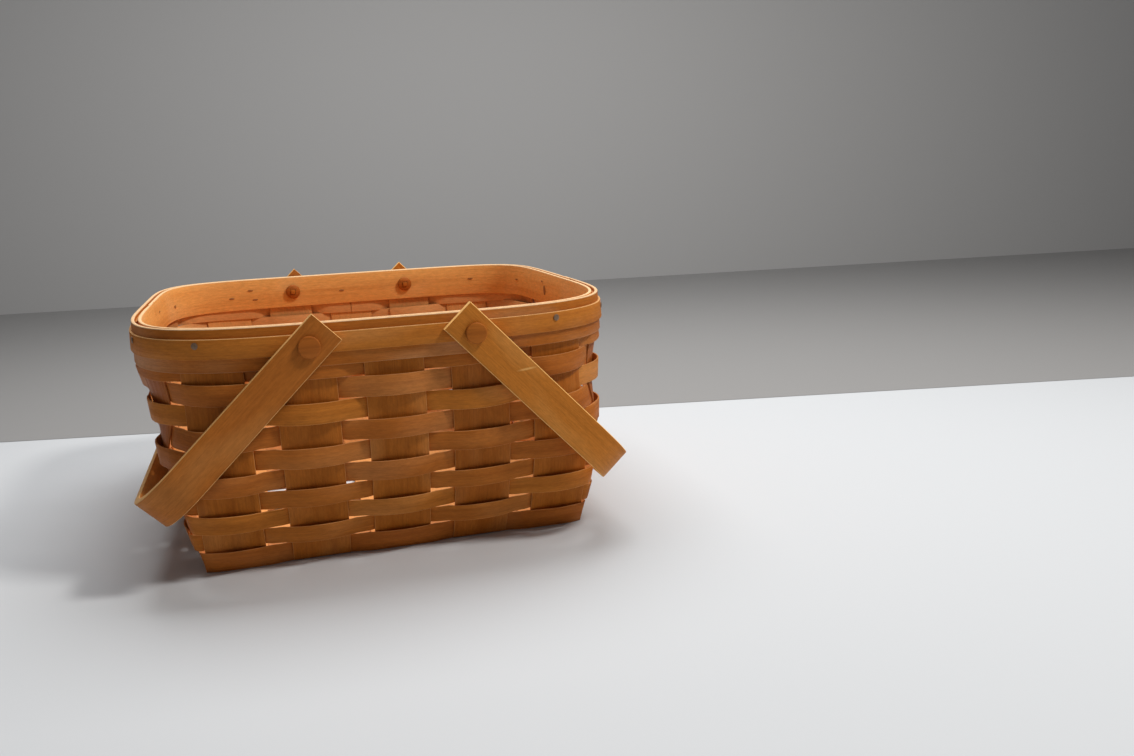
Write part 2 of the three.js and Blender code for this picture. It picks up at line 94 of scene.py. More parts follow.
PIN_SPACING = 95.3
PIN_DROP = 12.5
PIN_DIAMETER = 6.0
PIN_LAND = 1.9
PIN_HEAD_DIAMETER = 12.7
PIN_HEAD_HEIGHT = 2.4
PIN_HEAD_EASE = 0.7
PIN_TIP = 3.6
PIN_TIP_ROOT = 1.0
PIN_TIP_PROUD = 0.8
PIN_TIP_EASE = 0.35
BUTTON_DIAMETER = 11.8
BUTTON_EDGE = 1.4
BUTTON_HEIGHT = 3.6

TACK_HEIGHT = 142.5
TACK_PLACES = (-107.0, 99.0)
TACK_SIZE = (4.0, 4.0)
TACK_RISE = 0.5
POINT_SIZE = (4.4, 1.5)
ROUND_POINT_SIZE = (3.6, 2.6)
SLOT_SIZE = (5.5, 7.6)
POINT_RISE = 0.25

# The worn scratch on the right handle: its middle and half sizes
SCUFF_PLACE = (77.5, -164.1, 114.9)
SCUFF_HALVES = (7.2, 1.0, 0.9)

# Angles in degrees: the handles as they rest, the scratch, and the sharpest bend that is shaded smooth
LEFT_HANDLE_TURN = -134.246
RIGHT_HANDLE_TURN = 137.046
SCUFF_LEAN = -7
STRIP_SMOOTH = 40
TURNED_SMOOTH = 35
TACK_SMOOTH = 50

# Form of the walls: powers of their flare, and of their plan from a rounded rim to a square base
END_WALL_CURVE = 1.0
FRONT_WALL_CURVE = 2.4
FRONT_SQUARENESS = 4.0
BACK_SQUARENESS = 6.0
BASE_SQUARENESS = 60.0
SQUARENESS_FADE = 3.0

# The four walls in order round the basket, with their directions in plan
FRONT, RIGHT, BACK, LEFT = range(4)
ALONG = ((1, 0), (0, 1), (-1, 0), (0, -1))
OUT = ((0, -1), (1, 0), (0, 1), (-1, 0))
WALL_COUNT = len(OUT)

# Upsplints and rows, numbered from 0. A turn round the basket is counted in upsplints from the
# front left one: the first half of each count is on the upsplint and the rest is the gap after it.
PER_WALL = 5
MIDDLE = (PER_WALL - 1) / 2
SPLINT_COUNT = WALL_COUNT * PER_WALL
ON_SHARE = 0.5
ON_MIDDLE = ON_SHARE / 2
GAP_MIDDLE = 1.5
ROW_COUNT = 10
LAP_NUMBERS = (1, 2)
PRESSED_ROW = 2
SAG_ROWS = 4

# Unevenness of the rows, as shares of the sizes above
LEAST_SHARE = 0.2
SLIT_SPREAD = 1.1
TOP_TIGHTNESS = 0.8
TIGHT_ROWS = 3
FOOT_RAMP = 4
REACH_SPLINTS = 4
ROW_WAVES = ((3, 0.5), (5, 0.8), (8, 0.35), (11, 0.6))
WANDER_ROWS = 2
SWAY_FROM = 0.3
SWAY_ROWS = 3
CLOSE_ROWS = (3, 4)
CLOSE_SPLINT = 1

# Steps along a bent strip: across an upsplint, through a gap, round a corner and so on
ON_STEPS = 6
GAP_STEPS = 4
CORNER_STEPS = 10
WALL_STEPS = 30
FOLD_STEPS = 5
CROSS_STEPS = 4
LEG_STEPS = 12
BEND_STEPS = 14
GRIP_STEPS = 24
STRIP_EASE_STEPS = 2
HANDLE_EASE_STEPS = 3
UPSPLINT_CUTS = 5
HANDLE_CUTS = 2

# Sides and steps of the turned pieces
HOLE_SIDES = 32
PIN_SIDES = 48
PIN_EASE_STEPS = 4
PIN_TIP_EASE_STEPS = 2
BUTTON_SIDES = 40
BUTTON_DOME_STEPS = 6
CHISEL_REACH = 6
TACK_SIDES = 16
TACK_EDGE = 0.4
TACK_DOME = ((0.8, 0.35), (0.7, 0.18), (0.5, 0.07))
FACING = 0.5

# A flat strip has one step to the millimetre until it is bent
FLAT_STEP = 0.001
FLAT_FACING = 0.95
TOUCH = 1e-6
TINY = 1e-9
TURN_STEP = 0.01

# Painted light: cut edges pale as bare wood and as painted highlight, lower hoop edges spared as painted
# shade, and inside faces of splints painted paler for the stronger light inside the basket; then how pale
# or dark a piece is
INSIDE_LIT_PALE = 0.75
SPLINT_EDGE_PALE = 0.4
SHADED_LOW_EDGE_PALE = 0.1
LEFT_HANDLE_TONE = -1.1
RIGHT_HANDLE_TONE = 2.2
PIN_TONES = (-0.6, 0.6)
BUTTON_TONES = (-1, -0.3)
GRAIN_SHIFT = 40
END_GRAIN_PULL = 0.4
SIDE_GRAIN_PULL = 0.3

# Stains in the order base, dark and pale, and the finish over them
CREAM = (0.9, 0.6, 0.33)
WEAVER_STAIN = ((0.53, 0.168, 0.025), (0.32, 0.083, 0.011), (0.8, 0.41, 0.16))
UPSPLINT_STAIN = ((0.45, 0.13, 0.017), (0.27, 0.064, 0.007), (0.72, 0.35, 0.13))
BAND_STAIN = ((0.5, 0.158, 0.02), (0.3, 0.076, 0.009), CREAM)
TRIM_STAIN = ((0.56, 0.19, 0.028), (0.36, 0.097, 0.012), (0.8, 0.45, 0.18))
# Painted light: the inner band is stained paler than the outer band, for the stronger light on the inside
# of the rim.
INNER_BAND_LIT_STAIN = ((0.84, 0.39, 0.11), (0.62, 0.23, 0.05), CREAM)
HANDLE_STAIN = ((0.505, 0.164, 0.025), (0.33, 0.092, 0.011), (0.82, 0.46, 0.16))
PIN_STAIN = ((0.46, 0.135, 0.02), (0.28, 0.072, 0.01), (0.64, 0.25, 0.06))
SPLIT_BUMP = 0.25
PLANED_BUMP = 0.2
GRAIN_RELIEF = 0.0003
VARNISH_SHINE = 0.09
SCUFF_CORE = 0.3
SCUFF_STRENGTH = 0.65

# Tack metal, dark and light, with its roughness from dull to bright
HEAD_METAL = ((0.12, 0.06, 0.03), (0.34, 0.22, 0.14))
POINT_METAL = ((0.25, 0.082, 0.02), (0.47, 0.18, 0.045))
HEAD_METALLIC = 0.3
POINT_METALLIC = 0.0
TARNISH_SCALE = 900.0
TARNISH_DETAIL = 3.0
DULL, BRIGHT = 0.6, 0.35

# Layers through the rim, as distances from the middle of the upsplints
weave_edge = UPSPLINT_THICKNESS / 2 + CLEARANCE + WEAVER_THICKNESS / 2
band_near = UPSPLINT_THICKNESS / 2 + WEAVER_THICKNESS + 2 * CLEARANCE
band_far = band_near + BAND_THICKNESS
trim_near = band_far + CLEARANCE
trim_far = trim_near + TRIM_THICKNESS
lap_depth = WEAVER_THICKNESS + CLEARANCE

# Heights and places that follow from the sizes
crossing_step = UPSPLINT_THICKNESS + CLEARANCE
flat_base = UPSPLINT_THICKNESS / 2 + crossing_step
pin_height = RIM_HEIGHT - PIN_DROP
hole_radius = PIN_DIAMETER / 2 + CLEARANCE
rows_bottom = flat_base + UPSPLINT_THICKNESS / 2 + CLEARANCE
rows_top = pin_height - hole_radius - PIN_LAND
row_pitch = (rows_top - rows_bottom) / ROW_COUNT
upright_from = rows_bottom + (ROW_COUNT - 1) * row_pitch
upsplint_top = RIM_HEIGHT - UPSPLINT_DROP
handle_far = RIM_DEPTH / 2 - band_far + trim_far + CLEARANCE + HANDLE_THICKNESS

chance = random.Random(20)


def mix(a, b, share):
    return a + (b - a) * share


def clamp01(value):
    return min(1.0, max(0.0, value))


def ease(share):
    return share * share * (3 - 2 * share)


def is_end_wall(wall):
    return wall % 2 == 1


def count_and_share(turn):
    """Number of the upsplint at a turn, and the place past its start: on it up to 1, then in the gap."""
    count = math.floor(turn + TINY)
    return count, (turn - count) / ON_SHARE


def wall_of(count):
    return (count // PER_WALL) % WALL_COUNT


# Form of the walls


def flare_left(z, power):
    return (1 - clamp01(z / upright_from)) ** power


def plan_halves(z):
    end_rim = RIM_WIDTH / 2 - band_far
    front_rim = RIM_DEPTH / 2 - band_far
    end = mix(end_rim, BASE_WIDTH / 2, flare_left(z, END_WALL_CURVE))
    front = mix(front_rim, BASE_DEPTH / 2, flare_left(z, FRONT_WALL_CURVE))
    return end, front


def is_back_half(wall, along):
    return ALONG[wall][1] * along + OUT[wall][1] * RIM_DEPTH > 0


def plan_at(wall, z, along):
    end, front = plan_halves(z)
    rim_power = BACK_SQUARENESS if is_back_half(wall, along) else FRONT_SQUARENESS
    power = mix(rim_power, BASE_SQUARENESS, flare_left(z, SQUARENESS_FADE))
    return (front, end, power) if is_end_wall(wall) else (end, front, power)


def upsplint_place(wall, number, z):
    """Distance from a wall's middle to the middle of one of its upsplints."""
    base_half = (BASE_DEPTH if is_end_wall(wall) else BASE_WIDTH) / 2
    rim_half = (RIM_DEPTH if is_end_wall(wall) else RIM_WIDTH) / 2 - band_far
    fold_inset = FRONT_FOLD_INSET if is_end_wall(wall) else END_FOLD_INSET
    at_base = base_half - fold_inset - UPSPLINT_WIDTH / 2
    at_rim = rim_half - RIM_CORNER_INSET - UPSPLINT_WIDTH / 2
    return mix(at_base, at_rim, z / RIM_HEIGHT) * (number - MIDDLE) / MIDDLE


def on_wall(wall, z, along):
    half, reach, power = plan_at(wall, z, along)
    share = min(abs(along) / half, 1.0)
    out = reach * (1 - share**power) ** (1 / power)
    slope_along = math.copysign(share ** (power - 1), along) / half
    slope_out = (out / reach) ** (power - 1) / reach
    return along, out, math.atan2(slope_along, slope_out)


def on_corner(wall, z, lean):
    half, reach, power = plan_at(wall, z, 1)
    root = 1 / (power - 1)
    pull_along = (half * math.sin(lean)) ** root
    pull_out = (reach * math.cos(lean)) ** root
    size = (pull_along**power + pull_out**power) ** (1 / power)
    return half * pull_along / size, reach * pull_out / size, lean


def splint_edge(wall, number, side, z):
    return on_wall(wall, z, upsplint_place(wall, number, z) + side * UPSPLINT_WIDTH / 2)


def plan_point(turn, z):
    """Wall, distance along it, distance out and lean of the wall at a turn round the basket."""
    count, share = count_and_share(turn)
    wall = wall_of(count)
    number = count % PER_WALL
    if share <= 1:
        return (wall, *splint_edge(wall, number, 2 * share - 1, z))
    before = splint_edge(wall, number, 1, z)
    if number < PER_WALL - 1:
        after = splint_edge(wall, number + 1, -1, z)
        return (wall, *on_wall(wall, z, mix(before[0], after[0], share - 1)))
    after = splint_edge((wall + 1) % WALL_COUNT, 0, -1, z)
    lean = mix(before[2], math.pi / 2 + after[2], share - 1)
    return (wall, *on_corner(wall, z, lean))


def sag_at(x, z):
    end, _ = plan_halves(z)
    grown = clamp01((z - rows_bottom) / (SAG_ROWS * row_pitch))
    fading = 1 - clamp01((z - rows_top) / (upsplint_top - rows_top))
    return ROW_SAG * grown * fading * max(0.0, 1 - (x / end) ** 2)


def wall_point(turn, z, offset, sags):
    """A point of the wall in millimetres, moved out from the upsplints' middle surface."""
    wall, along, out, lean = plan_point(turn, z)
    sideways = along + offset * math.sin(lean)
    outwards = out + offset * math.cos(lean)
    x = ALONG[wall][0] * sideways + OUT[wall][0] * outwards
    y = ALONG[wall][1] * sideways + OUT[wall][1] * outwards
    return Vector((x, y, z - sag_at(x, z) if sags else z))


def turns_between(start, end):
    """Turns at which a strip round the basket is bent, from its start to its end."""
    turns = [start]
    for count in range(math.floor(start), math.ceil(end)):
        is_corner = count % PER_WALL == PER_WALL - 1
        gap_steps = CORNER_STEPS if is_corner else GAP_STEPS
        on = [count + ON_SHARE * k / ON_STEPS for k in range(ON_STEPS)]
        gap = [count + ON_SHARE + (1 - ON_SHARE) * k / gap_steps for k in range(gap_steps)]
        turns += [t for t in on + gap if start + TOUCH < t < end - TOUCH]
    return turns + [end]


# Work on the bench


def deselect():
    bpy.ops.object.select_all(action="DESELECT")


def named(name):
    piece = bpy.context.object
    piece.name = name
    piece.data.name = name
    return piece


def select_edges(mesh, test):
    """Selects the edges of the mesh in edit mode that pass a test on their two ends."""
    work = bmesh.from_edit_mesh(mesh)
    for face in work.faces:
        face.select = False
    for edge in work.edges:
        edge.select = test(edge.verts[0].co, edge.verts[1].co)
    work.select_flush_mode()
    bmesh.update_edit_mesh(mesh)


def select_faces(mesh, test):
    """Selects the faces of the mesh in edit mode that pass a test."""
    work = bmesh.from_edit_mesh(mesh)
    for face in work.faces:
        face.select = test(face)
    work.select_flush_mode()
    bmesh.update_edit_mesh(mesh)


def faces_up(face):
    return face.normal.z > FACING


def faces_down(face):
    return face.normal.z < -FACING


def draw_out(rise):
    bpy.ops.mesh.extrude_region_move(TRANSFORM_OT_translate={"value": (0, 0, rise)})


def narrow_by(share):
    bpy.ops.transform.resize(value=(share, share, 1))


def cut_away(piece, tool, name):
    """Cuts the form of a tool out of a piece and puts the tool away."""
    cut = piece.modifiers.new(name, "BOOLEAN")
    cut.operation = "DIFFERENCE"
    cut.object = tool
    bpy.context.view_layer.objects.active = piece
    bpy.ops.object.modifier_apply(modifier=cut.name)
    bpy.data.objects.remove(tool)


def turned_to(*axes):
    """The turn that brings X, Y and Z to three given directions."""
    return Matrix(axes).transposed().to_4x4()


def smooth(piece, degrees):
    deselect()
    piece.select_set(True)
    bpy.context.view_layer.objects.active = piece
    bpy.ops.object.shade_smooth_by_angle(angle=math.radians(degrees))


def finish_piece(piece, material, slot, body, *nodes):
    piece.data.materials.clear()
    piece.data.materials.append(material)
    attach(piece, body)
    if nodes:
        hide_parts(*nodes)


# Flat strips of wood, cut and eased before they are bent


def flat_strip(name, steps, width, thickness, eased, cuts_across=0, ease_steps=STRIP_EASE_STEPS):
    """A straight strip of wood: steps along X, width along Y and thickness along Z."""
    deselect()
    bpy.ops.mesh.primitive_grid_add(
        x_subdivisions=steps,
        y_subdivisions=cuts_across + 1,
        size=1,
        location=(steps * FLAT_STEP / 2, 0, -thickness * MM / 2),
    )
    piece = named(name)
    piece.scale = (steps * FLAT_STEP, width * MM, 1)
    bpy.ops.object.transform_apply(location=True, rotation=False, scale=True)
    bpy.ops.object.mode_set(mode="EDIT")
    bpy.ops.mesh.select_all(action="SELECT")
    draw_out(thickness * MM)
    bpy.ops.mesh.select_all(action="SELECT")
    bpy.ops.mesh.normals_make_consistent(inside=False)
    bpy.ops.mesh.select_mode(type="EDGE")
    side = width * MM / 2 - TOUCH

    def is_long_edge(a, b):
        return abs(a.x - b.x) > FLAT_STEP / 2 and min(abs(a.y), abs(b.y)) > side

    select_edges(piece.data, is_long_edge)
    bpy.ops.mesh.bevel(offset=eased * MM, segments=ease_steps, affect="EDGES")
    bpy.ops.object.mode_set(mode="OBJECT")
    return piece


def grain_map(mesh):
    layer = mesh.uv_layers.active or mesh.uv_layers.new(name="grain")
    layer.name = "grain"
    return layer.data


def mark_grain(piece, lengths, tone, inside_lit_pale, shaded_low_pale):
    """Grain map in metres along and across the flat strip, and marks for its cut edges, inside faces and
    tone.
    Cut edges are marked pale as bare wood and as painted highlight, the lower edges of hoops mostly not,
    as painted shade; the side of splints towards the inside of the basket is marked pale as painted
    light, for the stronger light inside."""
    mesh = piece.data
    along = grain_map(mesh)
    start = chance.uniform(0, GRAIN_SHIFT)
    across = chance.uniform(0, GRAIN_SHIFT)
    for loop in mesh.loops:
        co = mesh.vertices[loop.vertex_index].co
        step = co.x / FLAT_STEP
        low = min(int(step), len(lengths) - 2)
        run = mix(lengths[low], lengths[low + 1], step - low)
        along[loop.index].uv = (start + run * MM, across + co.y + co.z)
    cut = mesh.attributes.new("bare_edge_and_painted_light", "FLOAT", "FACE")
    tones = mesh.attributes.new("tone", "FLOAT", "FACE")
    # The pale edge is partly bare cut wood and partly painted highlight.
    edge_pale = SPLINT_EDGE_PALE if inside_lit_pale else 1.0
    for face in mesh.polygons:
        is_cut = abs(face.normal.z) < FLAT_FACING
        # Painted light: the inside faces of splints are painted paler, for the stronger light inside the
        # basket.
        is_inside = face.center.z < 0
        # Painted shade: the lower cut edge of a hoop keeps little of the pale edge, its top edge all of
        # it as painted highlight.
        side_pale = edge_pale * (shaded_low_pale if face.center.y < 0 else 1.0)
        cut.data[face.index].value = side_pale if is_cut else inside_lit_pale * is_inside
        tones.data[face.index].value = tone


def bend_strip(piece, points_at, inside_lit_pale=0.0, paler=0.0, shaded_low_pale=1.0):
    """Moves every corner of a flat strip to its place: points_at takes step, across and depth."""
    mesh = piece.data
    steps = max(round(v.co.x / FLAT_STEP) for v in mesh.vertices)
    middles = [points_at(step, 0.0, 0.0) for step in range(steps + 1)]
    lengths = [0.0]
    for a, b in zip(middles, middles[1:]):
        lengths.append(lengths[-1] + (b - a).length)
    mark_grain(piece, lengths, paler + chance.uniform(-1, 1), inside_lit_pale, shaded_low_pale)
    for vertex in mesh.vertices:
        step = round(vertex.co.x / FLAT_STEP)
        vertex.co = points_at(step, vertex.co.y / MM, vertex.co.z / MM) * MM
    mesh.update()
    smooth(piece, STRIP_SMOOTH)


# Finishes


def new_node(tree, kind, values=(), **settings):
    node = tree.nodes.new(kind)
    for name, value in settings.items():
        setattr(node, name, value)
    for key, value in dict(values).items():
        node.inputs[key].default_value = value
    return node


def new_material(name):
    material = bpy.data.materials.new(name)
    material.use_nodes = True
    tree = material.node_tree
    return material, tree, tree.nodes["Principled BSDF"]


def grain_group():
    """Lengthwise grain of split wood under stain: colour, roughness and height."""
    group = bpy.data.node_groups.new("splint_grain", "ShaderNodeTree")
    for side, name, kind in (
        ("INPUT", "Along", "Vector"),
        ("INPUT", "Tone", "Float"),
        ("INPUT", "Bare edge and painted light", "Float"),
        ("INPUT", "Base", "Color"),
        ("INPUT", "Dark", "Color"),
        ("INPUT", "Pale", "Color"),
        ("OUTPUT", "Colour", "Color"),
        ("OUTPUT", "Roughness", "Float"),
        ("OUTPUT", "Height", "Float"),
    ):
        group.interface.new_socket(name, in_out=side, socket_type="NodeSocket" + kind)
    link = group.links.new
    given = group.nodes.new("NodeGroupInput").outputs
    result = group.nodes.new("NodeGroupOutput").inputs

    def streaks(along, across, detail, roughness):
        """Noise drawn out along the grain: how often it changes in a metre along and across."""
        stretch = new_node(group, "ShaderNodeMapping", {"Scale": (along, across, 1.0)})
        noise = new_node(
            group,
            "ShaderNodeTexNoise",
            {"Scale": 1.0, "Detail": detail, "Roughness": roughness},
            noise_dimensions="2D",
        )
        link(given["Along"], stretch.inputs["Vector"])
        link(stretch.outputs["Vector"], noise.inputs["Vector"])
        return noise.outputs["Fac"]

    def ramp(value, low, high, out_low, out_high):
        node = new_node(
            group,
            "ShaderNodeMapRange",
            {"From Min": low, "From Max": high, "To Min": out_low, "To Max": out_high},
        )
        link(value, node.inputs["Value"])
        return node.outputs["Result"]

    def blend(factor, first, second):
        node = new_node(group, "ShaderNodeMix", data_type="RGBA")
        link(factor, node.inputs["Factor"])
        link(first, node.inputs["A"])
        link(second, node.inputs["B"])
        return node.outputs["Result"]

    def combine(operation, first, second):
        node = new_node(group, "ShaderNodeMath", operation=operation)
        link(first, node.inputs[0])
        link(second, node.inputs[1])
        return node.outputs["Value"]

    fibre = streaks(16.0, 1500.0, 3.0, 0.6)
    figure = streaks(5.0, 170.0, 2.0, 0.55)
    cloud = streaks(11.0, 26.0, 2.0, 0.5)
    pores = streaks(110.0, 3200.0, 1.0, 0.5)
    mottle = streaks(170.0, 620.0, 3.0, 0.7)

    stained = blend(ramp(figure, 0.45, 0.75, 0.0, 0.45), given["Base"], given["Dark"])
    fibred = blend(ramp(fibre, 0.5, 0.78, 0.0, 0.4), stained, given["Dark"])
    clouded = blend(ramp(cloud, 0.5, 0.75, 0.0, 0.22), fibred, given["Pale"])
    flecked = blend(ramp(pores, 0.66, 0.78, 0.0, 0.4), clouded, given["Dark"])
    # Blends towards the pale colour on bare cut edges with their painted highlight, and on inside faces
    # painted paler as light.
    edged_and_lit = blend(given["Bare edge and painted light"], flecked, given["Pale"])
    brightness = ramp(given["Tone"], -3.0, 3.0, 0.73, 1.27)
    unevenness = ramp(mottle, 0.3, 0.7, 0.91, 1.09)
    toned = new_node(group, "ShaderNodeHueSaturation")
    link(edged_and_lit, toned.inputs["Color"])
    link(combine("MULTIPLY", brightness, unevenness), toned.inputs["Value"])
    link(ramp(given["Tone"], -1.0, 1.0, 0.497, 0.504), toned.inputs["Hue"])
    fibre_height = ramp(fibre, 0.3, 0.7, 0.0, 1.0)
    pore_depth = ramp(pores, 0.6, 0.8, 0.0, -0.8)
    link(toned.outputs["Color"], result["Colour"])
    link(ramp(figure, 0.3, 0.7, 0.42, 0.58), result["Roughness"])
    link(combine("ADD", fibre_height, pore_depth), result["Height"])
    return group


splint_grain = grain_group()


def scuff_mask(tree):
    """A short worn scratch, strongest along its middle."""
    surface = new_node(tree, "ShaderNodeTexCoord")
    fitted = new_node(
        tree,
        "ShaderNodeMapping",
        {
            "Location": [MM * at for at in SCUFF_PLACE],
            "Rotation": (0, math.radians(SCUFF_LEAN), 0),
            "Scale": [MM * half for half in SCUFF_HALVES],
        },
        vector_type="TEXTURE",
    )
    distance = new_node(tree, "ShaderNodeVectorMath", operation="LENGTH")
    fade = new_node(
        tree,
        "ShaderNodeMapRange",
        {"From Min": SCUFF_CORE, "From Max": 1.0, "To Min": SCUFF_STRENGTH, "To Max": 0.0},
    )
    link = tree.links.new
    link(surface.outputs["Object"], fitted.inputs["Vector"])
    link(fitted.outputs["Vector"], distance.inputs[0])
    link(distance.outputs["Value"], fade.inputs["Value"])
    return fade.outputs["Result"]


def wood(name, stain, bump, is_scuffed=False):
    """Stained split wood with a satin varnish."""
    material, tree, shader = new_material(name)
    shader.inputs["Specular IOR Level"].default_value = VARNISH_SHINE
    along = new_node(tree, "ShaderNodeUVMap", uv_map="grain")
    tone = new_node(tree, "ShaderNodeAttribute", attribute_name="tone")
    # Reads the mark of bare cut edges, their painted highlight and the painted light of inside faces.
    cut = new_node(tree, "ShaderNodeAttribute", attribute_name="bare_edge_and_painted_light")
    figure = new_node(tree, "ShaderNodeGroup", node_tree=splint_grain)
    for socket, colour in zip(("Base", "Dark", "Pale"), stain):
        figure.inputs[socket].default_value = (*colour, 1)
    relief = new_node(tree, "ShaderNodeBump", {"Strength": bump, "Distance": GRAIN_RELIEF})
    link = tree.links.new
    link(along.outputs["UV"], figure.inputs["Along"])
    link(tone.outputs["Fac"], figure.inputs["Tone"])
    bare_and_lit = cut.outputs["Fac"]
    if is_scuffed:
        bare_lit_and_scuffed = new_node(tree, "ShaderNodeMath", operation="MAXIMUM")
        link(bare_and_lit, bare_lit_and_scuffed.inputs[0])
        link(scuff_mask(tree), bare_lit_and_scuffed.inputs[1])
        bare_and_lit = bare_lit_and_scuffed.outputs["Value"]
    link(bare_and_lit, figure.inputs["Bare edge and painted light"])
    link(figure.outputs["Colour"], shader.inputs["Base Color"])
    link(figure.outputs["Roughness"], shader.inputs["Roughness"])
    link(figure.outputs["Height"], relief.inputs["Height"])
    link(relief.outputs["Normal"], shader.inputs["Normal"])
    return material


def tack_metal(name, colours, metallic):
    """Dull metal of the tacks, darker where it has tarnished."""
    material, tree, shader = new_material(name)
    shader.inputs["Metallic"].default_value = metallic
    place = new_node(tree, "ShaderNodeTexCoord")
    spots = new_node(
        tree, "ShaderNodeTexNoise", {"Scale": TARNISH_SCALE, "Detail": TARNISH_DETAIL}
    )
    tints = new_node(tree, "ShaderNodeValToRGB")
    for stop, colour in zip(tints.color_ramp.elements, colours):
        stop.color = (*colour, 1)
    shine = new_node(tree, "ShaderNodeMapRange", {"To Min": DULL, "To Max": BRIGHT})
    link = tree.links.new
    link(place.outputs["Object"], spots.inputs["Vector"])
    link(spots.outputs["Fac"], tints.inputs["Fac"])
    link(spots.outputs["Fac"], shine.inputs["Value"])
    link(tints.outputs["Color"], shader.inputs["Base Color"])
    link(shine.outputs["Result"], shader.inputs["Roughness"])
    return material


weaver_wood = wood("weaver_wood", WEAVER_STAIN, SPLIT_BUMP)
upsplint_wood = wood("upsplint_wood", UPSPLINT_STAIN, SPLIT_BUMP)
band_wood = wood("band_wood", BAND_STAIN, SPLIT_BUMP)
trim_wood = wood("trim_wood", TRIM_STAIN, SPLIT_BUMP)
# A paler copy of the band wood: painted light of the inside of the rim.
inner_band_lit_wood = wood("inner_band_lit_wood", INNER_BAND_LIT_STAIN, SPLIT_BUMP)
handle_wood = wood("handle_wood", HANDLE_STAIN, PLANED_BUMP)
scuffed_wood = wood("scuffed_handle_wood", HANDLE_STAIN, PLANED_BUMP, is_scuffed=True)
pin_wood = wood("pin_wood", PIN_STAIN, PLANED_BUMP)
head_metal = tack_metal("tack_head", HEAD_METAL, HEAD_METALLIC)
point_metal = tack_metal("tack_point", POINT_METAL, POINT_METALLIC)

# Weavers


def noise_row(count):
    return [chance.uniform(0, 1) for _ in range(count)]


slit_sizes = [noise_row(SPLINT_COUNT) for _ in range(ROW_COUNT + 1)]
sway_sizes = [noise_row(SPLINT_COUNT) for _ in range(ROW_COUNT)]
for row in CLOSE_ROWS:
    sway_sizes[row][CLOSE_SPLINT] = 0.0
wander_phases = [chance.uniform(0, 2 * math.pi) for _ in ROW_WAVES]


def slit_at(level, turn):
    """How far a row's edge stays back from the line between two rows, most in the gaps."""
    count, share = count_and_share(turn)
    from_last_gap = share + (2 - GAP_MIDDLE)
    size = 0.0
    for gap, distance in ((count, abs(share - GAP_MIDDLE)), (count - 1, from_last_gap)):
        bump = clamp01(1 - distance / SLIT_SPREAD)
        size += ease(bump) * mix(LEAST_SHARE, 1, slit_sizes[level][gap % SPLINT_COUNT])
    tightness = 1 - TOP_TIGHTNESS * ease(clamp01(level - ROW_COUNT + TIGHT_ROWS))
    return ROW_SLIT * size * tightness


def foot_at(turn):
    """How far the lowest row reaches down past the base, outside the upsplints and in the gaps."""
    count, share = count_and_share(turn)
    if count % 2 == 0 or share >= 1:
        return FOOT_DROP
    return FOOT_DROP * ease(clamp01(FOOT_RAMP * abs(2 * share - 1) - (FOOT_RAMP - 1)))


def reach_at(turn):
    """How far the tucked row reaches down past its line, along the back wall and round its corners."""
    middle = BACK * PER_WALL + math.floor(MIDDLE) + ON_MIDDLE
    half = SPLINT_COUNT / 2
    away = abs((turn - middle + half) % SPLINT_COUNT - half)
    return TUCK_REACH * ease(clamp01(REACH_SPLINTS - away))


def wander_at(row, turn):
    """Slow rise and fall of a row, shared by its neighbours."""
    angle = 2 * math.pi * turn / SPLINT_COUNT
    total = sum(
        math.sin(beats * angle + drift * row + phase)
        for (beats, drift), phase in zip(ROW_WAVES, wander_phases)
    )
    return ROW_WANDER * total / math.sqrt(len(ROW_WAVES)) * clamp01(row / WANDER_ROWS)


def sway_at(row, turn, offset):
    """How far a row hangs lower where it passes outside, and rides higher where it passes inside.
    The lowest row doesn't, and the top ones have no room for it."""
    if row == 0:
        return 0.0
    number = round(turn - ON_MIDDLE) % SPLINT_COUNT
    grown = ease(clamp01(abs(offset) / weave_edge - SWAY_FROM))
    room = clamp01((ROW_COUNT - 1 - row) / SWAY_ROWS)
    size = ROW_SWAY * mix(LEAST_SHARE, 1, sway_sizes[row][number]) * room
    return math.copysign(size * grown, offset)


def weave_offset(row, turn, is_flat):
    """How far a row stands out from the upsplints' middle surface. It bows over each upsplint, unless
    it is held flat, and crosses the gap in a curve that starts and ends at the bow's slope."""
    count, share = count_and_share(turn)
    side = 1 if (row + count) % 2 == 0 else -1
    is_pressed = row == PRESSED_ROW and is_end_wall(wall_of(count))
    crest = weave_edge
    if not is_flat:
        crest += PRESSED_CREST if is_pressed else WEAVER_CREST
    if share <= 1:
        across = 2 * share - 1
        return side * mix(crest, weave_edge, across * across)
    z = rows_bottom + (row + 0.5) * row_pitch
    start = wall_point(count + ON_SHARE, z, 0, False)
    end = wall_point(count + 1, z, 0, False)
    bow_slope = 4 * (crest - weave_edge) / UPSPLINT_WIDTH
    slope = min(bow_slope * (end - start).length, 3 * weave_edge)
    s = share - 1
    rise = weave_edge * (1 - 2 * ease(s))
    return side * (rise - slope * (s * (1 - s) ** 2 - s * s * (1 - s)))


